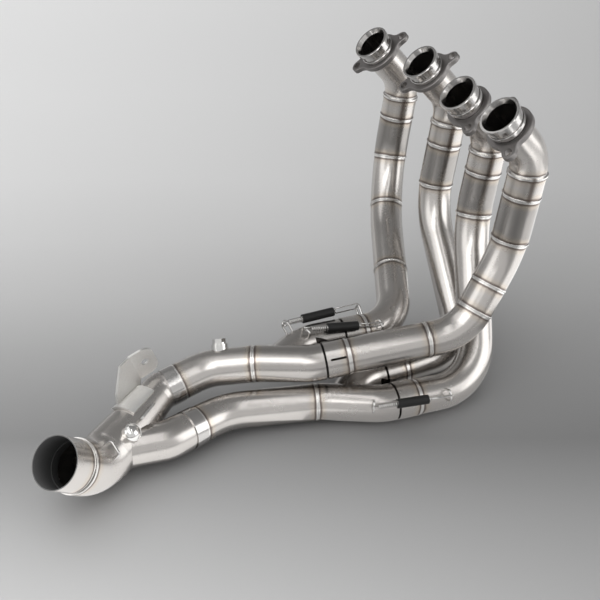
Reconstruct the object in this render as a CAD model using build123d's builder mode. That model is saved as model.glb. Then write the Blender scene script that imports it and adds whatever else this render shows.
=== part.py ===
"""Motorcycle exhaust header of welded tube: four primary pipes, two pair collectors, one outlet.

Lengths are in millimetres. The origin is the centre of the outlet mouth, +X points
forward along the motorcycle, +Y to its left and +Z up. Pipe 4 is the nearest to -Y,
the near side.
"""
import os
from math import cos, radians, sin

from build123d import *

os.makedirs("parts", exist_ok=True)

# Row of exhaust ports
port_pitch = 86.0
port_x = 493.0
port_z = 261.0
last_port_y = 8.0
port_tilt = 47.0
# How far pipes 2 and 3 have settled off the row in their loose joints
settled_x = {1: 0.0, 2: 15.0, 3: 9.0, 4: 0.0}
settled_z = {1: 0.0, 2: 0.0, 3: -7.0, 4: 0.0}

# Primary pipes
primary_od = 41.0
tube_wall = 1.2
elbow_reach = {1: 75.0, 2: 78.0, 3: 80.0, 4: 75.0}
down_run = {1: 154.0, 2: 139.0, 3: 117.0, 4: 113.5}
down_lean = 8.0
elbow_radius = 48.0
down_radius = {1: 120.0, 2: 90.0, 3: 110.0, 4: 110.0}
sweep_radius = {1: 58.0, 2: 60.0, 3: 62.0, 4: 62.0}
sweep_corner = {
    1: (425.0, 67.0, -14.0),
    2: (507.0, 34.0, -56.0),
    3: (483.0, -25.0, -59.0),
    4: (468.0, -5.0, 8.0),
}
slip_end = {
    1: (358.0, 77.0, -14.0),
    2: (392.0, 40.0, -56.0),
    3: (378.0, -11.0, -56.0),
    4: (313.0, 36.0, -8.0),
}

# Stepped sleeve and plain section below each elbow, then the welds further down
lip_station = {1: 93.0, 2: 101.0, 3: 95.0, 4: 90.0}
plain_od = 42.0
sleeve_length = 28.0
plain_length = 54.0
lip_height = 1.3
lip_width = 3.0
bead_height = 0.8
bead_width = 2.0
bead_round = 0.6
weld_stations = {1: (242.0, 350.0), 2: (), 3: (), 4: (228.0, 261.0, 328.0)}

# Turned port collars
collar_bore_r = 17.5
rim_r = 22.2
rim_width = 5.0
barrel_r = 20.6
barrel_width = 6.5
groove_r = 19.4
groove_width = 1.8
ring_shoulder_r = 21.4
ring_shoulder_width = 4.7
shank_insert = 5.0
shank_clearance = 0.1
collar_chamfer = 0.6
bore_flare = 2.2
bore_flare_depth = 5.0

# Loose port flanges
flange_thickness = 6.0
flange_seat_gap = 0.3
flange_bore_gap = 0.4
flange_body_r = 26.0
flange_waist_r = 13.0
flange_flank_r = 12.0
ear_pitch = 65.0
ear_r = 7.5
ear_hole_r = 4.3
flange_chamfer = 0.8
flange_turn = {1: -28.0, 2: -30.0, 3: 50.0, 4: 46.0}
# How far each loose flange has slid back from its collar
flange_slide = {1: 0.0, 2: 0.0, 3: 5.0, 4: 3.0}

# Slip joints
slip_od = 42.6
slip_length = 26.0
slip_wall = 1.4
slip_gap = 2.6
spigot_clearance = 0.2
spigot_wall = 1.4
spigot_length = 20.0
slot_width = 2.6
slot_length = 18.0
slot_start = 4.0
slot_turns = {1: (100.0,), 2: (100.0,), 3: (-100.0,), 4: (54.0, -20.0)}

# Pair collectors, their far legs and the secondary tubes
secondary_od = 42.0
far_leg_od = 41.0
near_stub = 16.0
far_stub = {1: 50.0, 2: 40.0}
leg_radius = 60.0
upper_corners = ((244.0, 73.5, -14.0), (194.0, 97.0, -20.0), (145.0, 93.5, -28.0))
lower_corners = ((303.0, 24.0, -54.0), (199.0, 54.5, -52.0), (147.0, 40.0, -49.0))
upper_radii = (leg_radius, 100.0, 60.0)
lower_radii = (leg_radius, 100.0, 80.0)
upper_merge = 52.0
lower_merge = 56.0
upper_collector_length = 80.0
lower_collector_length = 90.0

# Turned rings at the ends of the secondary tubes
ring_od = 43.6
ring_wall = 1.5
ring_length = 14.0
ring_insert = 11.0

# Final collector and outlet
outlet_od = 54.4
outlet_wall = 1.3
outlet_plan_angle = 30.0
outlet_rise = 45.0
outlet_reach = 66.0
outlet_radius = 50.0
outlet_sleeve_length = 30.0
outlet_insert = 8.0
outlet_overlap = 0.2
outlet_shoulder = 0.6
outlet_lip = 3.0
outlet_clearance = 0.1
final_wall = 1.3
final_leg_od = 43.0
upper_stub = 8.0
upper_stub_radius = 25.0
lower_stub = 25.0
lower_stub_radius = 40.0
merge_from_corner = 27.0
taper_margin = 10.0

# Wire hooks and the springs they hold; each hook is (distance from the slip end, turn)
hook_wire_r = 1.3
hook_half_width = 6.0
hook_height = {"near": 28.0, "far": 32.0, "low": 31.5}
hook_corner = 3.0
hook_root = 0.8
hook_seat_gap = 0.1
spring_hooks = {
    "near": ((52.0, 16.0), (38.0, 46.0)),
    "far": ((58.0, -44.0), (30.0, -50.0)),
    "low": ((26.0, 58.0), (56.0, 60.0)),
}
spring_wire_r = 0.8
spring_neck_r = 0.7
eye_r = 3.2
eye_play = 0.3
coil_r = 3.6
sleeve_r = 5.3
sleeve_gap = 0.2
sleeve_share = {"near": (0.27, 0.68), "far": (0.24, 0.66), "low": (0.30, 0.70)}
coil_inset = 14.0

# Sensor bosses with their closing plugs
boss_r = 9.4
boss_height = 5.0
plug_r = 8.0
plug_flange = 2.0
plug_height = 4.0
dome_r = 9.0
dome_height = 5.0
hex_width = 13.0
plug_thread_r = 6.0
plug_clearance = 0.1
plug_depth = 6.0
lower_boss_station = 43.0
lower_boss_turn = 44.0
upper_boss_station = 117.0
upper_boss_turn = -32.0

# Mounting bracket of bent sheet
sheet = 2.5
bracket_plan_angle = 33.7
bracket_offset = 18.0
panel_outline = ((64.0, 22.0), (64.4, 45.3), (68.0, 56.3), (75.0, 76.0), (89.8, 77.4))
fold_foot = (104.6, 40.4)
panel_toe = (100.0, 22.0)
ear_bend = 30.0
ear_width = 25.6
ear_length = 41.0
ear_corner_r = 13.0
bracket_hole = (12.9, 21.5)
bracket_hole_r = 4.2
saddle_span = (64.0, 102.0)
saddle_turns = (-48.0, 22.0)
saddle_gap = 0.2
saddle_cut_reach = 80.0
saddle_cut_margin = 20.0

# Hooks on the final collector
tab_length = 26.0
tab_height = 9.0
tab_sheet = 2.4
tab_hole_r = 2.6
tab_station = 72.0
tab_turn = 40.0
outlet_hook_wire_r = 1.7
outlet_hook_half_width = 8.0
outlet_hook_height = 9.0
outlet_hook_turn = 40.0

primary_r = primary_od / 2
plain_r = plain_od / 2
slip_r = slip_od / 2
secondary_r = secondary_od / 2
far_leg_r = far_leg_od / 2
ring_r = ring_od / 2
outlet_r = outlet_od / 2
final_leg_r = final_leg_od / 2
collar_length = rim_width + barrel_width + groove_width + ring_shoulder_width
shank_r = primary_r - tube_wall - shank_clearance
flange_start = {pipe: collar_length + flange_seat_gap + slide for pipe, slide in flange_slide.items()}
elbow_start = {pipe: start + flange_thickness + flange_seat_gap for pipe, start in flange_start.items()}
insert_r = outlet_r - outlet_wall + outlet_overlap
body_r = outlet_r + outlet_clearance + final_wall


def save(piece, name):
    """Label a finished piece and write it as its own file."""
    piece.label = name
    export_step(piece, f"parts/{name}.step")


def route(points, radii):
    """Centre line of a bent tube: straight runs joined by tangent arcs."""
    with BuildLine() as line:
        FilletPolyline(*points, radius=list(radii))
    return line.wire()


def span(path, start, end):
    """The stretch of a centre line between two distances along it."""
    return path.trim(max(start / path.length, 0.0), min(end / path.length, 1.0))


def square_to(path, position):
    """Plane square to a centre line at a distance along it."""
    share = min(max(position / path.length, 0.0), 1.0)
    return Plane(origin=path @ share, z_dir=path % share)


def place_on(path, position, turn):
    """Plane on a centre line with X along it and Z outward, turned from up to the near side."""
    share = position / path.length
    along = path % share
    up = (Vector(0, 0, 1) - along * along.Z).normalized()
    side = along.cross(up)
    if side.Y > 0:
        side = -side
    outward = up * cos(radians(turn)) + side * sin(radians(turn))
    return Plane(origin=path @ share, x_dir=along, z_dir=outward)


def tube(path, outer_r, wall):
    """Thin tube swept along a centre line."""
    with BuildPart() as piece:
        with BuildSketch(square_to(path, 0)):
            Circle(outer_r)
            Circle(outer_r - wall, mode=Mode.SUBTRACT)
        sweep(path=path)
    return piece.part


def bar(path, outer_r):
    """Solid round bar swept along a centre line."""
    with BuildPart() as piece:
        with BuildSketch(square_to(path, 0)):
            Circle(outer_r)
        sweep(path=path)
    return piece.part


def rod(plane, start, end, outer_r):
    """Straight round bar along a plane's normal, between two distances from it."""
    with BuildPart() as piece:
        with BuildSketch(plane.offset(start)):
            Circle(outer_r)
        extrude(amount=end - start)
    return piece.part


def weld_bead(face, outer_r):
    """Low rounded ring around a tube, standing on a plane and reaching along its normal."""
    with BuildPart() as piece:
        with BuildSketch(face):
            Circle(outer_r + bead_height)
            Circle(outer_r - tube_wall / 2, mode=Mode.SUBTRACT)
        extrude(amount=bead_width)
        rims = [edge for edge in piece.edges().filter_by(GeomType.CIRCLE) if edge.radius > outer_r]
        fillet(rims, bead_round)
    return piece.part


def beaded_tube(path, outer_r, wall, at_start=False):
    """Tube with a raised weld bead just inside one end."""
    if at_start:
        face = square_to(path, 0)
    else:
        end = square_to(path, path.length)
        face = Plane(origin=end.origin, z_dir=-end.z_dir)
    return tube(path, outer_r, wall) + weld_bead(face, outer_r)


# Directions of the port axes and of the straight sections below the elbows
into_port = Vector(cos(radians(port_tilt)), 0, -sin(radians(port_tilt)))
across_port = Vector(sin(radians(port_tilt)), 0, cos(radians(port_tilt)))
down = Vector(-sin(radians(down_lean)), 0, -cos(radians(down_lean)))


def port_mouth(pipe):
    """Centre of a pipe's mouth at the cylinder head."""
    y = last_port_y + (4 - pipe) * port_pitch
    return Vector(port_x + settled_x[pipe], y, port_z + settled_z[pipe])


def primary_route(pipe):
    """Centre line of a primary pipe from its port mouth to its slip joint."""
    mouth = port_mouth(pipe)
    elbow = mouth + into_port * elbow_reach[pipe]
    knee = elbow + down * down_run[pipe]
    corners = (mouth, elbow, knee, Vector(*sweep_corner[pipe]), Vector(*slip_end[pipe]))
    return route(corners, (elbow_radius, down_radius[pipe], sweep_radius[pipe]))


def port_collar(pipe):
    """Turned collar: flared rim, barrel, groove, shoulder ring, and the shank that enters the elbow."""
    seat = Plane(origin=port_mouth(pipe), z_dir=into_port)
    steps = (
        (rim_r, rim_width),
        (barrel_r, barrel_width),
        (groove_r, groove_width),
        (ring_shoulder_r, ring_shoulder_width),
        (shank_r, elbow_start[pipe] - collar_length + shank_insert),
    )
    with BuildPart() as piece:
        start = 0.0
        for step_r, width in steps:
            with BuildSketch(seat.offset(start)):
                Circle(step_r)
            extrude(amount=width)
            start += width
        rounds = piece.edges().filter_by(GeomType.CIRCLE)
        chamfer([edge for edge in rounds if edge.radius > (barrel_r + ring_shoulder_r) / 2], collar_chamfer)
        with BuildSketch(seat):
            Circle(collar_bore_r)
        extrude(amount=start, mode=Mode.SUBTRACT)
        with BuildSketch(seat):
            Circle(collar_bore_r + bore_flare)
        with BuildSketch(seat.offset(bore_flare_depth)):
            Circle(collar_bore_r)
        loft(mode=Mode.SUBTRACT)
    return piece.part


def port_flange(pipe):
    """Loose two-eared flange that presses the collar into its port."""
    turn = radians(flange_turn[pipe])
    face = Plane(
        origin=port_mouth(pipe) + into_port * flange_start[pipe],
        x_dir=across_port * cos(turn) + Vector(0, 1, 0) * sin(turn),
        z_dir=into_port,
    )
    with BuildPart() as piece:
        with BuildSketch(face) as outline:
            Circle(flange_waist_r)
            with Locations((ear_pitch / 2, 0), (-ear_pitch / 2, 0)):
                Circle(ear_r)
            make_hull()
            Circle(flange_body_r)
            corners = [spot for spot in outline.vertices() if abs(Vector(spot).length - flange_body_r) < 0.01]
            fillet(corners, flange_flank_r)
            Circle(shank_r + flange_bore_gap, mode=Mode.SUBTRACT)
            with Locations((ear_pitch / 2, 0), (-ear_pitch / 2, 0)):
                Circle(ear_hole_r, mode=Mode.SUBTRACT)
        extrude(amount=flange_thickness)
        rims = piece.faces().filter_by(Plane(origin=(0, 0, 0), z_dir=into_port))
        chamfer([face.outer_wire().edges() for face in rims][0], flange_chamfer)
    return piece.part


def stepped_sleeve(path):
    """Sleeve over a joint, with a proud lip at its upper end and a weld bead at its lower end."""
    with BuildPart() as piece:
        add(beaded_tube(path, plain_r, plain_r - primary_r + tube_wall))
        with BuildSketch(square_to(path, 0)):
            Circle(plain_r + lip_height)
            Circle(plain_r - tube_wall / 2, mode=Mode.SUBTRACT)
        extrude(amount=lip_width)
    return piece.part


def slip_sleeve(path, turns):
    """Socket at the end of a primary pipe, with slots at the given turns."""
    with BuildPart() as piece:
        add(tube(path, slip_r, slip_wall))
        middle = path.length - slot_start - slot_length / 2
        for turn in turns:
            with BuildSketch(place_on(path, middle, turn)):
                SlotOverall(slot_length, slot_width)
            extrude(amount=2 * slip_r, mode=Mode.SUBTRACT)
    return piece.part


primary = {pipe: primary_route(pipe) for pipe in (1, 2, 3, 4)}
for pipe, path in primary.items():
    lip = lip_station[pipe]
    plain_start = lip + sleeve_length
    plain_end = plain_start + plain_length
    slip_start = path.length - slip_length
    save(port_collar(pipe), f"port_collar_{pipe}")
    save(port_flange(pipe), f"port_flange_{pipe}")
    save(tube(span(path, elbow_start[pipe], lip), primary_r, tube_wall), f"inlet_elbow_{pipe}")
    save(stepped_sleeve(span(path, lip, plain_start)), f"stepped_sleeve_{pipe}")
    plain = beaded_tube(span(path, plain_start, plain_end), plain_r, tube_wall)
    save(plain, f"plain_section_{pipe}")
    stations = (plain_end, *weld_stations[pipe], slip_start)
    for number, (start, end) in enumerate(zip(stations, stations[1:]), start=1):
        stretch = span(path, start, end)
        if end == slip_start:
            section = tube(stretch, primary_r, tube_wall)
        else:
            section = beaded_tube(stretch, primary_r, tube_wall)
        save(section, f"down_tube_{pipe}_{number}")
    save(slip_sleeve(span(path, slip_start, path.length), slot_turns[pipe]), f"slip_sleeve_{pipe}")


def line_after(pipe, corners, radii):
    """Centre line of a near leg and its secondary tube, from the slip end of a pipe."""
    end = Vector(*slip_end[pipe])
    stub = end + (primary[pipe] % 1) * near_stub
    return route((end, stub, *[Vector(*corner) for corner in corners]), radii)


def far_leg(pipe, main, merge):
    """Centre line of a far leg, from the slip end of a pipe to the main line."""
    end = Vector(*slip_end[pipe])
    stub = end + (primary[pipe] % 1) * far_stub[pipe]
    return route((end, stub, main @ (merge / main.length)), (leg_radius,))


def leg_outside(path, leg_r, spigot_r, depth):
    """Solid outside of a collector leg: the spigot in its socket, then the leg itself."""
    spigot = rod(square_to(path, 0), -depth, slip_gap, spigot_r)
    return spigot + bar(span(path, slip_gap, path.length), leg_r)


def leg_inside(path, leg_r, spigot_r, depth, wall):
    """Solid inside of a collector leg, to be cut out of its outside."""
    shoulder = slip_gap + spigot_wall
    bore = rod(square_to(path, 0), -depth, shoulder, spigot_r - spigot_wall)
    return bore + bar(span(path, shoulder, path.length), leg_r - wall)


def pair_collector(main, far, length):
    """Two legs that merge into one tube, with a weld bead at its far end."""
    spigot_r = slip_r - slip_wall - spigot_clearance
    near = span(main, 0, length)
    outside = leg_outside(near, secondary_r, spigot_r, spigot_length)
    outside += leg_outside(far, far_leg_r, spigot_r, spigot_length)
    near_hollow = leg_inside(near, secondary_r, spigot_r, spigot_length, tube_wall)
    far_hollow = leg_inside(far, far_leg_r, spigot_r, spigot_length, tube_wall)
    return outside - near_hollow - far_hollow


def secondary(main, length):
    """Secondary tube from its collector to the turned ring at its end."""
    return beaded_tube(span(main, length, main.length - ring_length), secondary_r, tube_wall, at_start=True)


def joint_ring(main):
    """Turned socket ring at the end of a secondary tube."""
    return tube(span(main, main.length - ring_length, main.length), ring_r, ring_wall)


upper = line_after(4, upper_corners, upper_radii)
lower = line_after(3, lower_corners, lower_radii)
upper_far = far_leg(1, upper, upper_merge)
lower_far = far_leg(2, lower, lower_merge)
save(pair_collector(upper, upper_far, upper_collector_length), "collector_upper")
save(pair_collector(lower, lower_far, lower_collector_length), "collector_lower")
boss_place = place_on(upper, upper_boss_station, upper_boss_turn)
boss_bore = rod(boss_place, secondary_r / 2, secondary_r + boss_height, plug_thread_r + plug_clearance)
save(secondary(upper, upper_collector_length) - boss_bore, "secondary_upper")
save(secondary(lower, lower_collector_length), "secondary_lower")
save(joint_ring(upper), "joint_ring_upper")
save(joint_ring(lower), "joint_ring_lower")

# Final collector: the body runs from the upper joint to the outlet, the second leg joins it
plan = radians(outlet_plan_angle)
rise = radians(outlet_rise)
inward = Vector(cos(rise) * cos(plan), cos(rise) * sin(plan), -sin(rise))
corner = inward * outlet_reach
upper_end = upper @ 1
lower_end = lower @ 1
upper_turn = upper_end + (upper % 1) * upper_stub
lower_turn = lower_end + (lower % 1) * lower_stub
body_line = route((upper_end, upper_turn, corner, Vector(0, 0, 0)), (upper_stub_radius, outlet_radius))
toward_joint = (upper_turn - corner).normalized()
merge_point = corner + toward_joint * merge_from_corner
second_line = route((lower_end, lower_turn, merge_point), (lower_stub_radius,))
corner_station = upper_stub + (corner - upper_turn).length
taper_start = upper_stub + taper_margin
taper_end = corner_station - merge_from_corner
body_end = body_line.length - outlet_sleeve_length


def body_solid(inset):
    """Solid of the final collector's body, drawn in by an inset all round but for its end lip."""
    start = slip_gap + (spigot_wall if inset else 0.0)
    end = body_end - (outlet_lip if inset else 0.0)
    leg = bar(span(body_line, start, taper_start), final_leg_r - inset)
    bend = bar(span(body_line, taper_end, end), body_r - inset)
    with BuildPart() as taper:
        with BuildSketch(square_to(body_line, taper_start)):
            Circle(final_leg_r - inset)
        with BuildSketch(square_to(body_line, taper_end)):
            Circle(body_r - inset)
        loft()
    return leg + taper.part + bend


ring_spigot_r = ring_r - ring_wall - spigot_clearance
upper_mouth = square_to(body_line, 0)
final_outside = body_solid(0.0) + rod(upper_mouth, -ring_insert, slip_gap, ring_spigot_r)
final_outside += leg_outside(second_line, final_leg_r, ring_spigot_r, ring_insert)
final_inside = body_solid(final_wall)
final_inside += bar(span(body_line, body_end - 2 * outlet_lip, body_end), insert_r + outlet_clearance)
final_inside += rod(upper_mouth, -ring_insert, slip_gap + spigot_wall, ring_spigot_r - spigot_wall)
final_inside += leg_inside(second_line, final_leg_r, ring_spigot_r, ring_insert, final_wall)
body_place = place_on(body_line, corner_station - lower_boss_station, lower_boss_turn)
body_bore = rod(body_place, final_leg_r / 2, body_r + boss_height, plug_thread_r + plug_clearance)
save(final_outside - final_inside - body_bore, "final_collector")


def outlet_sleeve():
    """Straight sleeve that the next pipe slides over, necked down to an insert in the body's lip."""
    land_start = body_end + outlet_shoulder
    insert = span(body_line, body_end - outlet_insert, land_start + outlet_wall)
    land = span(body_line, land_start, body_line.length)
    return tube(land, outlet_r, outlet_wall) + tube(insert, insert_r, outlet_wall)


save(outlet_sleeve(), "outlet_sleeve")


def wire_hook(place, tube_r, wire_r, half_width, height):
    """Wire arch standing across a tube, with its feet on the surface."""
    foot = tube_r * hook_root
    across = Plane(origin=place.origin, x_dir=place.y_dir, z_dir=place.x_dir)
    with BuildPart() as piece:
        with BuildLine(across) as arch:
            FilletPolyline(
                (-half_width, foot),
                (-half_width, height),
                (half_width, height),
                (half_width, foot),
                radius=hook_corner,
            )
        with BuildSketch(square_to(arch.wire(), 0)):
            Circle(wire_r)
        sweep(path=arch.wire())
        with BuildSketch(across):
            Circle(tube_r + hook_seat_gap)
        extrude(amount=2 * wire_r, both=True, mode=Mode.SUBTRACT)
    return piece.part


def spring(first, second, height, coil_end):
    """Extension spring between two hooks; its close coils are drawn as a plain bar."""
    start = first.origin + first.z_dir * height
    end = second.origin + second.z_dir * height
    reach = end - start
    axis = Plane(origin=start, x_dir=first.y_dir, z_dir=reach)
    eye_offset = eye_r - spring_wire_r - hook_wire_r - eye_play
    eyes = (axis.offset(eye_offset), axis.offset(reach.length - eye_offset))
    with BuildPart() as piece:
        with BuildSketch(axis.offset(eye_offset + eye_r)):
            Circle(spring_neck_r)
        extrude(amount=reach.length - 2 * (eye_offset + eye_r))
        with BuildSketch(axis.offset(coil_inset)):
            Circle(coil_r)
        extrude(amount=reach.length * coil_end - coil_inset)
        for eye in eyes:
            with Locations(Plane(origin=eye.origin, x_dir=eye.z_dir, z_dir=eye.x_dir)):
                Torus(eye_r, spring_wire_r)
    return piece.part


def spring_sleeve(first, second, height, shares):
    """Rubber sleeve over the middle of a spring."""
    start = first.origin + first.z_dir * height
    end = second.origin + second.z_dir * height
    reach = end - start
    axis = Plane(origin=start, z_dir=reach)
    with BuildPart() as piece:
        with BuildSketch(axis.offset(reach.length * shares[0])):
            Circle(sleeve_r)
            Circle(coil_r + sleeve_gap, mode=Mode.SUBTRACT)
        extrude(amount=reach.length * (shares[1] - shares[0]))
    return piece.part


# Each spring: its collector leg and that leg's radius, then its primary pipe
spring_legs = {
    "near": (upper_far, far_leg_r, 1),
    "far": (upper_far, far_leg_r, 1),
    "low": (lower, secondary_r, 3),
}
for side, (leg, leg_r, pipe) in spring_legs.items():
    (leg_station, leg_turn), (pipe_station, pipe_turn) = spring_hooks[side]
    path = primary[pipe]
    height = hook_height[side]
    leg_place = place_on(leg, leg_station, leg_turn)
    pipe_place = place_on(path, path.length - pipe_station, pipe_turn)
    for place, tube_r, end in ((leg_place, leg_r, "collector"), (pipe_place, primary_r, "pipe")):
        hook = wire_hook(place, tube_r, hook_wire_r, hook_half_width, height)
        save(hook, f"spring_hook_{side}_{end}")
    save(spring(leg_place, pipe_place, height, sleeve_share[side][1]), f"spring_{side}")
    cover = spring_sleeve(leg_place, pipe_place, height, sleeve_share[side])
    save(cover, f"spring_sleeve_{side}")


def sensor_boss(place, carrier, reach):
    """Threaded boss on a tube, bored through for its plug."""
    with BuildPart() as piece:
        with BuildSketch(place):
            Circle(boss_r)
            Circle(plug_thread_r + plug_clearance, mode=Mode.SUBTRACT)
        extrude(amount=reach)
        add(carrier, mode=Mode.SUBTRACT)
    return piece.part


def domed_plug(place, reach):
    """Closing plug with a low round head."""
    head = place.offset(reach)
    ball_r = (dome_r**2 + dome_height**2) / (2 * dome_height)
    with BuildPart() as piece:
        with Locations(head.offset(dome_height - ball_r)):
            Sphere(ball_r)
        with BuildSketch(head):
            Circle(2 * ball_r)
        extrude(amount=-2 * ball_r, mode=Mode.SUBTRACT)
        with BuildSketch(head):
            Circle(plug_thread_r)
        extrude(amount=-plug_depth)
    return piece.part


def hex_plug(place, reach):
    """Closing plug with a round flange and a hexagon head."""
    head = place.offset(reach)
    with BuildPart() as piece:
        with BuildSketch(head):
            Circle(plug_r)
        extrude(amount=plug_flange)
        with BuildSketch(head.offset(plug_flange)):
            RegularPolygon(hex_width / 2, 6, major_radius=False)
        extrude(amount=plug_height)
        with BuildSketch(head):
            Circle(plug_thread_r)
        extrude(amount=-plug_depth)
    return piece.part


body_reach = body_r + boss_height
save(sensor_boss(body_place, final_outside, body_reach), "sensor_boss_lower")
save(domed_plug(body_place, body_reach), "boss_plug_lower")
tube_reach = secondary_r + boss_height
tube_stretch = span(upper, upper_boss_station - 2 * boss_r, upper_boss_station + 2 * boss_r)
save(sensor_boss(boss_place, bar(tube_stretch, secondary_r), tube_reach), "sensor_boss_upper")
save(hex_plug(boss_place, tube_reach), "boss_plug_upper")


def tapered_cover(start, end, lift):
    """Solid cone around the body's taper, between two distances from the corner."""
    growth = (body_r - final_leg_r) / (taper_end - taper_start)
    with BuildPart() as piece:
        for distance in (start, end):
            cone_r = body_r - growth * (distance - merge_from_corner) + lift
            with BuildSketch(Plane(origin=corner + toward_joint * distance, z_dir=toward_joint)):
                Circle(cone_r)
        loft()
    return piece.part


def mounting_bracket():
    """Bent sheet bracket: a saddle on the body, a standing panel and its turned ear."""
    plan_way = Vector(cos(radians(bracket_plan_angle)), sin(radians(bracket_plan_angle)), 0)
    far_way = Vector(0, 0, 1).cross(plan_way)
    panel_plane = Plane(origin=corner + far_way * bracket_offset, x_dir=plan_way, z_dir=-far_way)
    foot = panel_plane.from_local_coords(Vector(*fold_foot, 0))
    head = panel_plane.from_local_coords(Vector(*panel_outline[-1], 0))
    fold = (head - foot).normalized()
    flat = far_way.cross(fold)
    ear_way = flat * cos(radians(ear_bend)) - far_way * sin(radians(ear_bend))
    ear_plane = Plane(origin=foot, x_dir=ear_way, z_dir=ear_way.cross(fold))
    start, end = saddle_span
    cut = Plane(origin=corner + toward_joint * start, z_dir=toward_joint)
    with BuildPart() as shell:
        add(tapered_cover(start, end, saddle_gap + sheet))
        wedge = [
            place_on(body_line, corner_station - start, turn).z_dir for turn in saddle_turns
        ]
        middle = (wedge[0] + wedge[1]).normalized()
        reach = saddle_cut_reach
        corners = [Vector(0, 0, 0), wedge[0] * reach, middle * 2 * reach, wedge[1] * reach]
        with BuildSketch(cut):
            with BuildLine():
                Polyline(*[cut.to_local_coords(cut.origin + point) for point in corners], close=True)
            make_face()
        extrude(amount=end - start, mode=Mode.INTERSECT)
    with BuildPart() as piece:
        add(shell.part)
        with BuildSketch(panel_plane):
            with BuildLine():
                Polyline(*panel_outline, fold_foot, panel_toe, close=True)
            make_face()
        extrude(amount=sheet / 2, both=True)
        with BuildSketch(ear_plane):
            with BuildLine():
                FilletPolyline(
                    (0, 0),
                    (ear_width, 0),
                    (ear_width, ear_length),
                    (0, ear_length),
                    close=True,
                    radius=(0, ear_corner_r, ear_corner_r, 0),
                )
            make_face()
            with Locations(bracket_hole):
                Circle(bracket_hole_r, mode=Mode.SUBTRACT)
        extrude(amount=sheet / 2, both=True)
        with BuildSketch(Plane(origin=foot, z_dir=fold)):
            Circle(sheet / 2)
        extrude(amount=(head - foot).length)
        margin = saddle_cut_margin
        add(tapered_cover(start - margin, end + margin, saddle_gap), mode=Mode.SUBTRACT)
    return piece.part


save(mounting_bracket(), "mounting_bracket")


def hole_tab():
    """Sheet tab with a spring hole, standing along the body."""
    place = place_on(body_line, corner_station - tab_station, tab_turn)
    top = body_r + tab_height
    standing = Plane(origin=place.origin, x_dir=place.x_dir, z_dir=-place.y_dir)
    with BuildPart() as piece:
        with BuildSketch(standing):
            with BuildLine():
                FilletPolyline(
                    (-tab_length / 2, body_r / 2),
                    (-tab_length / 2, top),
                    (tab_length / 2, top),
                    (tab_length / 2, body_r / 2),
                    close=True,
                    radius=(0, tab_height / 2, tab_height / 2, 0),
                )
            make_face()
            with Locations((-tab_length / 4, top - tab_height / 2)):
                Circle(tab_hole_r, mode=Mode.SUBTRACT)
        extrude(amount=tab_sheet / 2, both=True)
        add(final_outside, mode=Mode.SUBTRACT)
    return piece.part


save(hole_tab(), "joint_hook_tab")
outlet_place = place_on(body_line, corner_station, outlet_hook_turn)
outlet_hook = wire_hook(
    outlet_place, body_r, outlet_hook_wire_r, outlet_hook_half_width, body_r + outlet_hook_height
)
save(outlet_hook, "outlet_spring_hook")
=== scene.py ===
"""Looks of the motorcycle exhaust header: brushed titanium, welds, springs and a studio."""

import math

import bpy
import numpy as np
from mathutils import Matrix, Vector


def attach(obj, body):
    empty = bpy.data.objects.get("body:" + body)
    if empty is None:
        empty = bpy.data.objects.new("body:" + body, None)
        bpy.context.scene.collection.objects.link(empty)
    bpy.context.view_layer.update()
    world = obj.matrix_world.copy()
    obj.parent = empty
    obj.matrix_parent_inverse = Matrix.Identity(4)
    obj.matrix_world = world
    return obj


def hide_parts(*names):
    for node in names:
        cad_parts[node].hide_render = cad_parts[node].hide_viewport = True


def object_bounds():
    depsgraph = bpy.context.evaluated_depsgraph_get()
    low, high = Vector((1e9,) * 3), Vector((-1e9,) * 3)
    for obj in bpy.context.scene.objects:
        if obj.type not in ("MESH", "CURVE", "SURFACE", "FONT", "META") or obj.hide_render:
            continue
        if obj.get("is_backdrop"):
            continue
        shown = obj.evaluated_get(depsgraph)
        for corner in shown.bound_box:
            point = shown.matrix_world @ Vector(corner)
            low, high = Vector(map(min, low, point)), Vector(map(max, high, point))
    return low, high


bl_info = {
    "name": "Exhaust Header Looks",
    "version": (1, 0, 0),
    "blender": (4, 5, 0),
    "location": "View3D > Sidebar > Header",
    "description": "Dresses a welded exhaust header in brushed titanium, winds its springs and lights it",
    "category": "Object",
}

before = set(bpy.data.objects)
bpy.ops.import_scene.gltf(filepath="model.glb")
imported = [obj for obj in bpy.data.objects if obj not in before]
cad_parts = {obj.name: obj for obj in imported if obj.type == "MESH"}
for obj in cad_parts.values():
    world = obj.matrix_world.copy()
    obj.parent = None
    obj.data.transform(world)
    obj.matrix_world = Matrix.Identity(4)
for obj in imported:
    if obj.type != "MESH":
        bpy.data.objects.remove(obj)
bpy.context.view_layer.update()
MM = 0.001

# A flat end face of a tube: its least number of mesh faces, area and inner radius, and its depth
RING_FACES = 16
RING_AREA = 80 * MM**2
RING_INNER_R = 12 * MM
RING_DEPTH = 0.1 * MM

# End faces closer than the first gap are welded; up to the second gap they are a slip joint
WELD_GAP = 1.2 * MM
SLIP_GAP = 4.0 * MM

# How far tint and painted shade reach from the middle of their end face
TINT_REACH = 36 * MM
SPIGOT_REACH = 34 * MM
SPIGOT_START = 0.05 * MM
OUTLET_SHADE_R = 27.1 * MM
OUTLET_SHADE_DEPTH = 40 * MM

# Half the width of a long weld's brown line, and the level direction that the welds face
SEAM_REACH = 4 * MM
SEAM_VIEW = Vector((-0.33, -0.94, 0.0))

# Plain sections are darker than the other tubes; the upper collector is darkened as painted shade that damps
# its highlight, and the elbows are paler as painted light that stands in for their bright reflections
TUBE_TONES_AND_PAINTED_LIGHT = {"plain_section": 0.58, "collector_upper": 0.85, "inlet_elbow": 1.2}

# Relief of the finest grain
FINE_RELIEF = 0.2 * MM
COARSE_RELIEF = 0.3 * MM

# Steps of the wound springs' centre lines, and the length of a plain spring's end that shows its plane
EYE_STEPS = 24
COIL_STEPS = 14
LOOP_STEPS = 14
SPRING_TIP = 5 * MM

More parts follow.
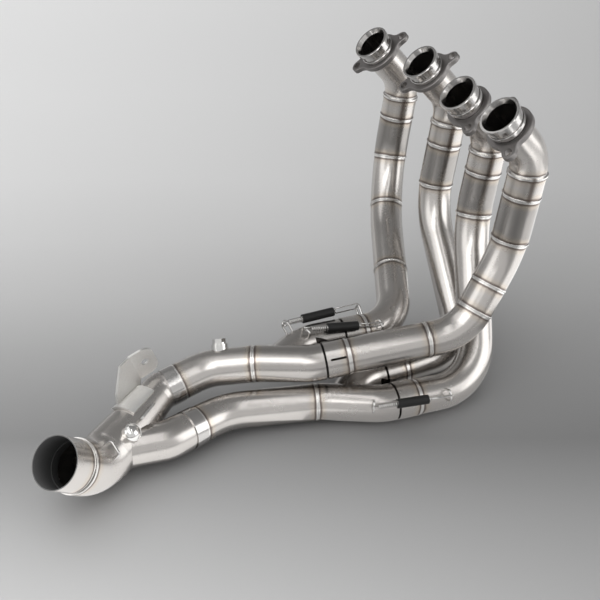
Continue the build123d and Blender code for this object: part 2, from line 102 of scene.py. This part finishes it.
# What the soft boxes face, and the height of those overhead
STUDIO_AIM = (0.25, 0.12, 0.08)
CEILING = 0.95

# Boxes overhead and cards on the floor: name, x, y, width, depth and watts
TOP_BOXES = (
    ("left_top_box", -0.26, -0.55, 0.44, 1.1, 4.2),
    ("middle_top_box", 0.30, -0.55, 0.12, 1.1, 0.9),
    ("left_back_box", -0.15, 0.50, 0.50, 1.0, 1.3),
)
FLOOR_CARDS = (
    ("front_bounce", 0.05, -0.10, 0.45, 0.22, 0.27),
    ("middle_bounce", 0.425, -0.10, 0.30, 0.22, 0.05),
    ("right_bounce", 0.90, -0.10, 0.50, 0.70, 1.4),
)

# The floor's half width, and the depth ahead of the camera over which it is shaded
FLOOR_REACH = 9.0
SHADED_DEPTH = 2.6


class HeaderFinishSettings(bpy.types.PropertyGroup):
    """Colours and grain of the metals and the rubber."""

    titanium: bpy.props.FloatVectorProperty(
        name="Titanium",
        description="Colour of the brushed tubes",
        subtype="COLOR",
        default=(0.60, 0.575, 0.55),
    )
    smoke: bpy.props.FloatVectorProperty(
        name="Smoke",
        description="Darker clouds on the tubes",
        subtype="COLOR",
        default=(0.46, 0.435, 0.415),
    )
    turned: bpy.props.FloatVectorProperty(
        name="Turned metal",
        description="Colour of collars and rings",
        subtype="COLOR",
        default=(0.60, 0.585, 0.57),
    )
    cast: bpy.props.FloatVectorProperty(
        name="Cast flange",
        description="Colour of the blasted flanges",
        subtype="COLOR",
        default=(0.20, 0.19, 0.185),
    )
    wire: bpy.props.FloatVectorProperty(
        name="Spring wire",
        description="Colour of springs and hooks",
        subtype="COLOR",
        default=(0.60, 0.59, 0.575),
    )
    bare: bpy.props.FloatVectorProperty(
        name="Bare metal",
        description="Colour of weld beads, plugs and bracket",
        subtype="COLOR",
        default=(0.80, 0.79, 0.77),
    )
    rubber: bpy.props.FloatVectorProperty(
        name="Rubber",
        description="Colour of the spring sleeves",
        subtype="COLOR",
        default=(0.006, 0.006, 0.006),
    )
    # Painted shade: the near black colour of the spigots in their slip gaps
    painted_shade: bpy.props.FloatVectorProperty(
        name="Soot",
        description="Colour of the spigots in their gaps",
        subtype="COLOR",
        default=(0.030, 0.027, 0.025),
    )
    straw: bpy.props.FloatVectorProperty(
        name="Straw tint",
        description="Heat tint away from a weld",
        subtype="COLOR",
        default=(0.56, 0.47, 0.36),
    )
    brown: bpy.props.FloatVectorProperty(
        name="Brown tint",
        description="Heat tint beside a weld",
        subtype="COLOR",
        default=(0.13, 0.095, 0.078),
    )
    tint_width: bpy.props.FloatProperty(
        name="Tint width",
        description="Reach of the heat tint beside a weld",
        subtype="DISTANCE",
        default=11 * MM,
    )
    roughness: bpy.props.FloatProperty(
        name="Satin",
        description="Roughness of the brushed tubes",
        subtype="FACTOR",
        default=0.26,
        min=0,
        max=1,
    )


class HeaderSpringSettings(bpy.types.PropertyGroup):
    """Sizes of the wound springs."""

    wire_r: bpy.props.FloatProperty(
        name="Wire radius",
        description="Radius of the spring wire",
        subtype="DISTANCE",
        default=0.75 * MM,
    )
    coil_r: bpy.props.FloatProperty(
        name="Coil radius",
        description="Outer radius of the coils",
        subtype="DISTANCE",
        default=3.6 * MM,
    )
    eye_r: bpy.props.FloatProperty(
        name="Eye radius",
        description="Radius of the eyes' centre lines",
        subtype="DISTANCE",
        default=3.2 * MM,
    )
    pitch: bpy.props.FloatProperty(
        name="Pitch",
        description="Distance between turns",
        subtype="DISTANCE",
        default=2.5 * MM,
    )


class HeaderStageSettings(bpy.types.PropertyGroup):
    """Camera, floor and lights."""

    camera_place: bpy.props.FloatVectorProperty(
        name="Camera place",
        description="Where the camera stands",
        subtype="TRANSLATION",
        default=(-0.0842, -0.6952, 0.6240),
    )
    azimuth: bpy.props.FloatProperty(
        name="Azimuth",
        description="Turn of the view: zero looks along +Y, a quarter turn along -X",
        subtype="ANGLE",
        default=math.radians(-26.6),
    )
    elevation: bpy.props.FloatProperty(
        name="Elevation",
        description="How far the view looks down",
        subtype="ANGLE",
        default=math.radians(33.5),
    )
    lens: bpy.props.FloatProperty(
        name="Lens",
        description="Focal length in millimetres",
        default=55.8,
    )
    sky: bpy.props.FloatProperty(
        name="Sky",
        description="Strength of the studio tent",
        default=1.8,
    )
    floor_tone: bpy.props.FloatProperty(
        name="Floor tone",
        description="Paleness of the floor",
        subtype="FACTOR",
        default=0.95,
    )


def as_vector(values):
    """Three numbers as a plain tuple."""
    return tuple(float(value) for value in values)


def darker(colour, share):
    """A colour with each part times a share."""
    return tuple(part * share for part in colour)


def new_material(name, roughness=0.4, metallic=1.0):
    """A material with its shader, and the place of the surface in object coordinates."""
    material = bpy.data.materials.new(name)
    material.use_nodes = True
    tree = material.node_tree
    shader = tree.nodes["Principled BSDF"]
    shader.inputs["Metallic"].default_value = metallic
    shader.inputs["Roughness"].default_value = roughness
    place = tree.nodes.new("ShaderNodeTexCoord").outputs["Object"]
    return material, tree, shader, place


def add_node(tree, kind, inputs=None, **settings):
    """A node with its settings, and its inputs linked or filled."""
    node = tree.nodes.new(kind)
    for key, value in settings.items():
        setattr(node, key, value)
    for key, value in (inputs or {}).items():
        if isinstance(value, bpy.types.NodeSocket):
            tree.links.new(value, node.inputs[key])
        else:
            node.inputs[key].default_value = value
    return node


def maths(tree, operation, first, second=0.0, third=0.0, clamp=False):
    """One sum of numbers as a node; the result is its output."""
    node = add_node(tree, "ShaderNodeMath", {0: first, 1: second, 2: third}, operation=operation)
    node.use_clamp = clamp
    return node.outputs[0]


def vector_maths(tree, operation, first, second=(0, 0, 0)):
    """One sum of vectors as a node; a dot product or a length comes out as a number."""
    node = add_node(tree, "ShaderNodeVectorMath", {0: first, 1: second}, operation=operation)
    return node.outputs["Value" if operation in ("DOT_PRODUCT", "LENGTH") else 0]


def noise(tree, place, scale, detail=3.0, roughness=0.55):
    """Even noise over the surface, from 0 to 1."""
    inputs = {"Vector": place, "Scale": scale, "Detail": detail, "Roughness": roughness}
    return add_node(tree, "ShaderNodeTexNoise", inputs).outputs["Fac"]


def mix_colour(tree, share, first, second, blend="MIX"):
    """Two colours mixed by a share."""
    node = add_node(tree, "ShaderNodeMix", {0: share}, data_type="RGBA", blend_type=blend)
    for socket, value in ((node.inputs[6], first), (node.inputs[7], second)):
        if isinstance(value, bpy.types.NodeSocket):
            tree.links.new(value, socket)
        else:
            socket.default_value = (*value[:3], 1.0)
    return node.outputs[2]


def ramp(tree, share, *stops):
    """A number turned into a colour by stops of (place, colour or grey)."""
    node = add_node(tree, "ShaderNodeValToRGB", {0: share})
    elements = node.color_ramp.elements
    while len(elements) < len(stops):
        elements.new(0.5)
    for element, (place, colour) in zip(elements, stops):
        if isinstance(colour, (int, float)):
            colour = (colour, colour, colour)
        element.position = place
        element.color = (*colour[:3], 1.0)
    return node.outputs[0]


def bump(tree, shader, height, strength, distance):
    """Fine relief on the surface."""
    inputs = {"Height": height, "Strength": strength, "Distance": distance}
    tree.links.new(add_node(tree, "ShaderNodeBump", inputs).outputs[0], shader.inputs["Normal"])


def node_points(name):
    """The points of a CAD node's mesh as an array."""
    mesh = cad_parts[name].data
    points = np.empty(len(mesh.vertices) * 3)
    mesh.vertices.foreach_get("co", points)
    return points.reshape(-1, 3)


def flat_rings(name):
    """Centre and outward normal of each flat ring of a node: many small faces in one plane."""
    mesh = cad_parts[name].data
    count = len(mesh.polygons)
    normals, centres, areas = np.empty(count * 3), np.empty(count * 3), np.empty(count)
    mesh.polygons.foreach_get("normal", normals)
    mesh.polygons.foreach_get("center", centres)
    mesh.polygons.foreach_get("area", areas)
    normals, centres = normals.reshape(-1, 3), centres.reshape(-1, 3)
    heights = (normals * centres).sum(1)
    keys = np.round(np.column_stack([normals * 50, heights / (2 * RING_DEPTH)]))
    first, faces = np.unique(keys, axis=0, return_index=True, return_counts=True)[1:]
    rings = []
    for seed in first[faces >= RING_FACES]:
        normal = normals[seed]
        inside = (normals @ normal > 0.9995) & (np.abs(centres @ normal - heights[seed]) < RING_DEPTH)
        area = areas[inside].sum()
        centre = (centres[inside] * areas[inside, None]).sum(0) / area
        hollow = np.linalg.norm(centres[inside] - centre, axis=1).min() > RING_INNER_R
        known = any(np.linalg.norm(centre - other) < 1 * MM and normal @ way > 0.9 for other, way in rings)
        if area > RING_AREA and hollow and not known:
            rings.append((centre, normal))
    return rings


def meeting_rings(rings):
    """Rings of different nodes that meet, as welds, and those a small gap apart, as slip joints."""
    welds = {name: [] for name in rings}
    gaps = {name: [] for name in rings}
    for name, own in rings.items():
        for centre, normal in own:
            others = [
                np.linalg.norm(place - centre)
                for other, theirs in rings.items() if other != name
                for place, way in theirs if way @ normal < -0.98
            ]
            nearest = min(others, default=1.0)
            if nearest < WELD_GAP:
                welds[name].append((as_vector(centre), as_vector(normal)))
            elif nearest < SLIP_GAP:
                gaps[name].append((as_vector(centre), as_vector(normal)))
    return welds, gaps


def dress(names, material):
    """Gives CAD nodes a material in every slot."""
    for name in names:
        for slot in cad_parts[name].material_slots:
            slot.material = material


def names_starting(*starts):
    """CAD nodes whose names start with any of the words."""
    return sorted(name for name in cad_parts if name.startswith(starts))


def heat_tint(tree, settings, place, smears, colour, centre, normal):
    """Heat tint beside one weld: a clean bead, a brown line, then straw that fades out."""
    offset = vector_maths(tree, "SUBTRACT", place, centre)
    along = maths(tree, "ABSOLUTE", vector_maths(tree, "DOT_PRODUCT", offset, normal))
    near = maths(tree, "LESS_THAN", vector_maths(tree, "LENGTH", offset), TINT_REACH)
    wander = maths(tree, "MULTIPLY_ADD", smears, 0.9, 0.55)
    even = maths(tree, "DIVIDE", along, settings.tint_width)
    distance = maths(tree, "MULTIPLY", even, wander, clamp=True)
    share = ramp(
        tree, distance, (0.0, 0.7), (0.14, 0.7), (0.21, 0.95), (0.32, 0.75), (0.48, 0.40), (1.0, 0.0)
    )
    tint = ramp(
        tree, distance, (0.0, settings.bare), (0.15, settings.bare), (0.22, settings.brown),
        (0.32, settings.brown), (0.50, settings.straw),
    )
    return mix_colour(tree, maths(tree, "MULTIPLY", share, near), colour, tint)


def painted_gap_shade(tree, settings, place, colour, centre, normal):
    """Painted shade, near black, on the spigot that stands out of a leg's end face into its slip gap."""
    offset = vector_maths(tree, "SUBTRACT", place, centre)
    ahead = vector_maths(tree, "DOT_PRODUCT", offset, normal)
    beyond = maths(tree, "GREATER_THAN", ahead, SPIGOT_START)
    near = maths(tree, "LESS_THAN", vector_maths(tree, "LENGTH", offset), SPIGOT_REACH)
    return mix_colour(tree, maths(tree, "MULTIPLY", beyond, near), colour, settings.painted_shade)


def painted_bore_shade(tree, place, colour, centre, axis, bore_r):
    """Painted shade, matt, on the rim and inside of a straight mouth, blacker further in, and where it lies.
    """
    offset = vector_maths(tree, "SUBTRACT", place, centre)
    away = vector_maths(tree, "LENGTH", vector_maths(tree, "CROSS_PRODUCT", offset, axis))
    depth = maths(tree, "ABSOLUTE", vector_maths(tree, "DOT_PRODUCT", offset, axis))
    further_in = maths(tree, "DIVIDE", depth, OUTLET_SHADE_DEPTH, clamp=True)
    painted_shade = ramp(tree, further_in, (0.0, 0.13), (0.45, 0.07), (1.0, 0.02))
    inside = maths(tree, "LESS_THAN", away, bore_r)
    return mix_colour(tree, inside, colour, painted_shade), inside


def long_seam(tree, settings, place, colour, centre, side, across):
    """Brown line of a long weld on one side of a straight tube."""
    offset = vector_maths(tree, "SUBTRACT", place, centre)
    width = maths(tree, "ABSOLUTE", vector_maths(tree, "DOT_PRODUCT", offset, across))
    facing = maths(tree, "GREATER_THAN", vector_maths(tree, "DOT_PRODUCT", offset, side), 0.0)
    from_middle = maths(tree, "DIVIDE", width, SEAM_REACH, clamp=True)
    share = ramp(tree, from_middle, (0.0, 0.75), (0.30, 0.65), (1.0, 0.0))
    return mix_colour(tree, maths(tree, "MULTIPLY", share, facing), colour, settings.brown)


def tinted_titanium(name, settings, welds, gaps, seam=None, shade=1.0, mouth=None):
    """Satin brushed titanium: cloudy, finely brushed, with heat tint beside each weld, painted shade on
    spigots in slip gaps and in the outlet's mouth, and a shade that paints shade or light on some tubes.
    """
    material, tree, shader, place = new_material(name, settings.roughness)
    clouds = noise(tree, place, 16.0, 3.0)
    smears = noise(tree, place, 60.0, 3.0, 0.6)
    # A shade below one darkens the colour and above one pales it, which is painted shade or painted light on
    # some tubes
    pale, dark = darker(settings.titanium, shade), darker(settings.smoke, shade)
    colour = mix_colour(tree, maths(tree, "MULTIPLY", clouds, 0.6), pale, dark)
    for centre, normal in welds:
        colour = heat_tint(tree, settings, place, smears, colour, centre, normal)
    for centre, normal in gaps:
        colour = painted_gap_shade(tree, settings, place, colour, centre, normal)
    if seam:
        colour = long_seam(tree, settings, place, colour, *seam)
    spread = maths(tree, "MULTIPLY_ADD", smears, 0.10, settings.roughness - 0.05)
    if mouth:
        colour, inside = painted_bore_shade(tree, place, colour, *mouth)
        spread = maths(tree, "MULTIPLY_ADD", inside, 0.35, spread)
        tree.links.new(maths(tree, "MULTIPLY_ADD", inside, -0.8, 1.0), shader.inputs["Metallic"])
    tree.links.new(colour, shader.inputs["Base Color"])
    tree.links.new(spread, shader.inputs["Roughness"])
    bump(tree, shader, noise(tree, place, 700.0, 2.0), 0.035, FINE_RELIEF)
    return material


def turned_metal(name, colour, roughness):
    """Turned and polished metal with faint tool marks."""
    material, tree, shader, place = new_material(name, roughness)
    marks = noise(tree, place, 420.0, 2.0)
    shade = mix_colour(tree, maths(tree, "MULTIPLY", marks, 0.35), colour, darker(colour, 0.72))
    tree.links.new(shade, shader.inputs["Base Color"])
    tree.links.new(maths(tree, "MULTIPLY_ADD", marks, 0.12, roughness - 0.06), shader.inputs["Roughness"])
    bump(tree, shader, marks, 0.03, FINE_RELIEF)
    return material


def cast_metal(name, colour):
    """Blasted casting: dull, grainy and a little uneven in tone."""
    material, tree, shader, place = new_material(name, 0.5)
    grain = noise(tree, place, 900.0, 3.0, 0.7)
    clouds = noise(tree, place, 60.0, 3.0)
    tree.links.new(mix_colour(tree, clouds, colour, darker(colour, 1.5)), shader.inputs["Base Color"])
    tree.links.new(maths(tree, "MULTIPLY_ADD", grain, 0.2, 0.36), shader.inputs["Roughness"])
    bump(tree, shader, grain, 0.15, COARSE_RELIEF)
    return material


def black_rubber(name, colour):
    """Moulded rubber, matt with a faint bloom."""
    material, tree, shader, place = new_material(name, 0.55, 0.0)
    shader.inputs["Specular IOR Level"].default_value = 0.3
    bloom = noise(tree, place, 240.0, 4.0)
    shade = mix_colour(tree, maths(tree, "MULTIPLY", bloom, 0.4), colour, (0.022, 0.021, 0.020))
    tree.links.new(shade, shader.inputs["Base Color"])
    tree.links.new(maths(tree, "MULTIPLY_ADD", bloom, 0.2, 0.42), shader.inputs["Roughness"])
    bump(tree, shader, bloom, 0.15, COARSE_RELIEF)
    return material


def sweep_mesh(name, path, radius, sides=8):
    """Wire mesh round a path.

    Each ring is the path's point plus the radius times cosine and sine of an even turn,
    along two directions square to the path that are carried from point to point.
    """
    count = len(path)
    along = np.gradient(path, axis=0)
    along /= np.linalg.norm(along, axis=1)[:, None]
    first = np.empty_like(path)
    start = np.cross(along[0], [0.31, 0.52, 0.79])
    first[0] = start / np.linalg.norm(start)
    for index in range(1, count):
        carried = first[index - 1] - along[index] * (first[index - 1] @ along[index])
        first[index] = carried / np.linalg.norm(carried)
    second = np.cross(along, first)
    turn = np.linspace(0, 2 * np.pi, sides, endpoint=False)
    ring = first[:, None] * np.cos(turn)[None, :, None] + second[:, None] * np.sin(turn)[None, :, None]
    points = (path[:, None] + ring * radius).reshape(-1, 3)
    rows = np.arange(count - 1)[:, None] * sides
    here = np.arange(sides)[None]
    following = (here + 1) % sides
    corners = (rows + here, rows + following, rows + sides + following, rows + sides + here)
    faces = np.stack(corners, axis=-1).reshape(-1, 4).tolist()
    faces.append(list(range(sides))[::-1])
    faces.append(list(range((count - 1) * sides, count * sides)))
    mesh = bpy.data.meshes.new(name)
    mesh.from_pydata(points.tolist(), [], faces)
    mesh.update()
    mesh.polygons.foreach_set("use_smooth", np.ones(len(mesh.polygons), dtype=bool))
    piece = bpy.data.objects.new(name, mesh)
    bpy.context.scene.collection.objects.link(piece)
    return piece


def weld_line(ring):
    """A point, the side and the width direction of a long weld on the tube that a ring ends."""
    centre, axis = ring
    across = Vector(axis).cross(SEAM_VIEW).normalized()
    side = across.cross(Vector(axis)).normalized()
    return as_vector(centre), as_vector(side), as_vector(across)


def shaded_gaps(name, gaps):
    """Slip gaps of a node that get painted shade: those of collectors, but not the lower one of the last."""
    if name == "final_collector":
        return sorted(gaps, key=lambda ring: ring[0][2])[-1:]
    return gaps if "collector" in name else []


def outlet_mouth(rings):
    """Centre, axis and painted shade radius of the outlet, whose mouth is the ring nearest the origin."""
    centre, axis = min(rings, key=lambda ring: np.linalg.norm(ring[0]))
    return as_vector(centre), as_vector(axis), OUTLET_SHADE_R


class HEADER_OT_dress_tubes(bpy.types.Operator):
    """Gives every tube its brushed titanium and the heat tint beside its welds"""

    bl_idname = "header.dress_tubes"
    bl_label = "Dress tubes"

    def execute(self, context):
        settings = context.scene.header_finish
        tubes = names_starting(
            "inlet_elbow", "stepped_sleeve", "plain_section", "down_tube", "slip_sleeve", "collector",
            "secondary", "final_collector", "outlet_sleeve",
        )
        rings = {name: flat_rings(name) for name in tubes + names_starting("port_collar", "joint_ring")}
        welds, gaps = meeting_rings(rings)
        for name in tubes:
            spigots = shaded_gaps(name, gaps[name])
            seam = weld_line(rings[name][0]) if name.startswith("stepped_sleeve") else None
            mouth = outlet_mouth(rings[name]) if name == "outlet_sleeve" else None
            # The tube's share of its colour: painted shade on the upper collector, painted light on the
            # elbows
            shade = next((value for start, value in TUBE_TONES_AND_PAINTED_LIGHT.items() if name.startswith(start)), 1.0)
            material = tinted_titanium(f"titanium_{name}", settings, welds[name], spigots, seam, shade, mouth)
            dress([name], material)
        return {"FINISHED"}


class HEADER_OT_dress_fittings(bpy.types.Operator):
    """Gives collars, flanges, bosses, hooks, bracket and rubber sleeves their finish"""

    bl_idname = "header.dress_fittings"
    bl_label = "Dress fittings"

    def execute(self, context):
        settings = context.scene.header_finish
        turned, wire, bare = (as_vector(colour) for colour in (settings.turned, settings.wire, settings.bare))
        dress(names_starting("port_collar", "joint_ring"), turned_metal("turned_titanium", turned, 0.17))
        dress(names_starting("port_flange"), cast_metal("cast_flange", as_vector(settings.cast)))
        dress(names_starting("boss_plug", "sensor_boss"), turned_metal("polished_plug", bare, 0.14))
        hooks = names_starting("spring_hook", "outlet_spring_hook", "joint_hook_tab")
        dress(hooks, turned_metal("hook_wire", wire, 0.2))
        dress(["mounting_bracket"], turned_metal("bracket_sheet", bare, 0.45))
        dress(names_starting("spring_sleeve"), black_rubber("black_rubber", as_vector(settings.rubber)))
        return {"FINISHED"}


def plain_spring(side):
    """Middle, long axis towards the pipe, hairpin direction and half length of a plain spring."""
    points = node_points(f"spring_{side}")
    start = node_points(f"spring_hook_{side}_collector").mean(0)
    middle = points.mean(0)
    axis = np.linalg.svd(points - middle)[2][0]
    axis = axis if (middle - start) @ axis > 0 else -axis
    along = (points - middle) @ axis
    middle = middle + axis * (along.min() + along.max()) / 2
    half = (along.max() - along.min()) / 2
    tips = points[((points - middle) @ axis) < -half + SPRING_TIP] - middle
    tips = tips - np.outer(tips @ axis, axis)
    across = np.linalg.svd(tips - tips.mean(0))[2][0]
    return middle, axis, across, half


def spring_path(side, settings):
    """Centre line of a wound spring from its collector hook to its pipe hook.

    An eye round the first hook, then coils of one turn per pitch, at the coil radius less
    the wire radius, up to the far end of the rubber sleeve, then a long hairpin: straight
    out, half a circle round the second hook, and straight back.
    """
    middle, axis, across, half = plain_spring(side)
    third = np.cross(axis, across)
    sleeve = (node_points(f"spring_sleeve_{side}") - middle) @ axis
    eye_r, reach = settings.eye_r, settings.coil_r - settings.wire_r
    eye_centre = -half + settings.wire_r + eye_r
    coil_start, coil_end = eye_centre + eye_r + settings.wire_r, sleeve.max() + settings.pitch
    turn = np.linspace(-1.15 * np.pi, 0.75 * np.pi, EYE_STEPS)
    eye = np.outer(eye_centre - eye_r * np.cos(turn + np.pi), axis) + np.outer(eye_r * np.sin(turn), across)
    turns = round((coil_end - coil_start) / settings.pitch)
    phase = np.linspace(0, 2 * np.pi * turns, turns * COIL_STEPS)
    height = np.linspace(coil_start, coil_end, len(phase))
    round_axis = np.outer(np.cos(phase), across) + np.outer(np.sin(phase), third)
    coil = np.outer(height, axis) + reach * round_axis
    loop_centre = half - settings.wire_r - reach
    bend = np.linspace(0, np.pi, LOOP_STEPS)
    loop = np.outer(loop_centre + reach * np.sin(bend), axis) + np.outer(reach * np.cos(bend), across)
    back = np.outer([(loop_centre + coil_end) / 2, coil_end], axis) - reach * across
    return middle + np.concatenate([eye, coil, loop, back])


class HEADER_OT_wind_springs(bpy.types.Operator):
    """Winds the three springs in place of their plain solids"""

    bl_idname = "header.wind_springs"
    bl_label = "Wind springs"

    def execute(self, context):
        settings = context.scene.header_springs
        material = turned_metal("spring_wire", as_vector(context.scene.header_finish.wire), 0.18)
        for side in ("near", "far", "low"):
            piece = sweep_mesh(f"wound_spring_{side}", spring_path(side, settings), settings.wire_r)
            piece.data.materials.append(material)
            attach(piece, "header")
            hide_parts(f"spring_{side}")
        return {"FINISHED"}


def level_axes(settings):
    """The camera's level directions, ahead and to its right."""
    sine, cosine = math.sin(settings.azimuth), math.cos(settings.azimuth)
    return (-sine, cosine, 0.0), (cosine, sine, 0.0)


def floor_material(settings, drop):
    """Pale studio floor with painted light and shade from front to back and from left to right as seen by the
    camera.
    """
    material, tree, shader, place = new_material("studio_floor", 0.6, 0.0)
    ahead, right = level_axes(settings)
    under_camera = (settings.camera_place[0], settings.camera_place[1], 0.0)
    offset = vector_maths(tree, "SUBTRACT", place, under_camera)
    depth = vector_maths(tree, "DOT_PRODUCT", offset, ahead)
    sine, cosine = math.sin(settings.elevation), math.cos(settings.elevation)
    distance = maths(tree, "MULTIPLY_ADD", depth, cosine, drop * sine)
    aside = maths(tree, "DIVIDE", vector_maths(tree, "DOT_PRODUCT", offset, right), distance)
    # Painted shade: darker under the camera and darkest in a band where the part stands; the far right beyond
    # the view is painted pale
    front_to_back = ramp(
        tree, maths(tree, "DIVIDE", depth, SHADED_DEPTH, clamp=True),
        (0.12, 0.30), (0.20, 0.52), (0.22, 0.47), (0.254, 0.375), (0.275, 0.305), (0.30, 0.23), (0.33, 0.285),
        (0.36, 0.345), (0.41, 0.47), (0.47, 0.585), (0.55, 0.69), (0.70, 0.80), (0.95, 0.925),
    )
    across = maths(tree, "MULTIPLY_ADD", aside, 1.0, 0.5, clamp=True)
    left_to_right = ramp(tree, across, (0.18, 1.0), (0.82, 0.69), (0.90, 0.66), (1.0, 1.0))
    tone = mix_colour(tree, 1.0, front_to_back, left_to_right, "MULTIPLY")
    tone = mix_colour(tree, 1.0, tone, (settings.floor_tone,) * 3, "MULTIPLY")
    tree.links.new(tone, shader.inputs["Base Color"])
    return material


def studio_world(settings):
    """A light tent, brighter in front of the part than behind it."""
    world = bpy.data.worlds.new("studio")
    world.use_nodes = True
    tree = world.node_tree
    direction = add_node(tree, "ShaderNodeTexCoord").outputs["Generated"]
    height = add_node(tree, "ShaderNodeSeparateXYZ", {0: direction}).outputs["Z"]
    ahead = level_axes(settings)[0]
    front = vector_maths(tree, "DOT_PRODUCT", direction, tuple(-part for part in ahead))
    share = maths(tree, "MULTIPLY_ADD", front, 0.9, 0.5, clamp=True)
    behind = ramp(tree, height, (0.0, 0.24), (0.30, 0.18), (0.55, 0.15), (0.80, 0.14), (1.0, 0.16))
    before = ramp(
        tree, height, (0.0, 0.50), (0.15, 0.42), (0.35, 0.40), (0.55, 0.42), (0.80, 0.22), (1.0, 0.16)
    )
    background = tree.nodes["Background"]
    tree.links.new(mix_colour(tree, share, behind, before), background.inputs[0])
    background.inputs[1].default_value = settings.sky
    return world


def area_light(name, place, aim, width, height, power):
    """A soft box at a place, turned to a point."""
    light = bpy.data.lights.new(name, "AREA")
    light.shape = "RECTANGLE"
    light.size, light.size_y = width, height
    light.energy = power
    box = bpy.data.objects.new(name, light)
    box.location = place
    box.rotation_mode = "QUATERNION"
    box.rotation_quaternion = (Vector(aim) - Vector(place)).to_track_quat("-Z", "Y")
    bpy.context.scene.collection.objects.link(box)
    return box


def lay_floor(scene, settings, level):
    """The floor, a square at the part's lowest point."""
    ways = ((-1, -1), (1, -1), (1, 1), (-1, 1))
    mesh = bpy.data.meshes.new("studio_floor")
    mesh.from_pydata([(x * FLOOR_REACH, y * FLOOR_REACH, level) for x, y in ways], [], [(0, 1, 2, 3)])
    mesh.materials.append(floor_material(settings, settings.camera_place[2] - level))
    floor = bpy.data.objects.new("studio_floor", mesh)
    scene.collection.objects.link(floor)
    floor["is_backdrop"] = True


def hang_lights(table):
    """A broad light for the floor, soft boxes beside and above the part, and cards on the floor."""
    area_light("floor_fill", (0.0, 1.5, 4.0), (0.0, 1.5, 0.0), 7.0, 7.0, 136).visible_glossy = False
    area_light("left_box", (-1.4, 0.1, 1.1), STUDIO_AIM, 1.3, 1.6, 6)
    area_light("right_box", (1.5, -0.9, 0.5), STUDIO_AIM, 1.2, 1.2, 7)
    for name, x, y, width, depth, power in TOP_BOXES:
        area_light(name, (x, y, CEILING), (x, y, 0.0), width, depth, power)
    for name, x, y, width, depth, power in FLOOR_CARDS:
        card = area_light(name, (x, y, table), (x, y, CEILING), width, depth, power)
        card.visible_camera = False


def place_camera(scene, settings):
    """The camera at its place, turned by its azimuth and elevation."""
    data = bpy.data.cameras.new("photo_camera")
    data.lens = settings.lens
    data.sensor_width = 36
    data.clip_start, data.clip_end = 0.01, 40
    camera = bpy.data.objects.new("photo_camera", data)
    ahead = level_axes(settings)[0]
    level = math.cos(settings.elevation)
    view = Vector((ahead[0] * level, ahead[1] * level, -math.sin(settings.elevation)))
    camera.location = settings.camera_place
    camera.rotation_mode = "QUATERNION"
    camera.rotation_quaternion = view.to_track_quat("-Z", "Y")
    scene.collection.objects.link(camera)
    scene.camera = camera


class HEADER_OT_set_stage(bpy.types.Operator):
    """Sets the floor, the soft boxes and the camera"""

    bl_idname = "header.set_stage"
    bl_label = "Set stage"

    def execute(self, context):
        settings = context.scene.header_stage
        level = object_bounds()[0][2]
        lay_floor(context.scene, settings, level)
        context.scene.world = studio_world(settings)
        context.scene.view_settings.view_transform = "Standard"
        hang_lights(level + 1 * MM)
        place_camera(context.scene, settings)
        return {"FINISHED"}


class HEADER_PT_looks(bpy.types.Panel):
    """Lists the header's operators and settings"""

    bl_label = "Exhaust header"
    bl_idname = "HEADER_PT_looks"
    bl_space_type = "VIEW_3D"
    bl_region_type = "UI"
    bl_category = "Header"

    def draw(self, context):
        scene = context.scene
        for operator in OPERATORS:
            self.layout.operator(operator.bl_idname)
        for settings in (scene.header_finish, scene.header_springs, scene.header_stage):
            box = self.layout.box()
            for key in settings.__annotations__:
                box.prop(settings, key)


OPERATORS = (HEADER_OT_dress_tubes, HEADER_OT_dress_fittings, HEADER_OT_wind_springs, HEADER_OT_set_stage)
SETTINGS = {
    "header_finish": HeaderFinishSettings,
    "header_springs": HeaderSpringSettings,
    "header_stage": HeaderStageSettings,
}


def register():
    for name, group in SETTINGS.items():
        bpy.utils.register_class(group)
        setattr(bpy.types.Scene, name, bpy.props.PointerProperty(type=group))
    for operator in OPERATORS:
        bpy.utils.register_class(operator)
    bpy.utils.register_class(HEADER_PT_looks)


def unregister():
    bpy.utils.unregister_class(HEADER_PT_looks)
    for operator in reversed(OPERATORS):
        bpy.utils.unregister_class(operator)
    for name, group in reversed(SETTINGS.items()):
        delattr(bpy.types.Scene, name)
        bpy.utils.unregister_class(group)


def main():
    register()
    bpy.ops.header.dress_tubes()
    bpy.ops.header.dress_fittings()
    bpy.ops.header.wind_springs()
    bpy.ops.header.set_stage()


if __name__ == "__main__":
    main()
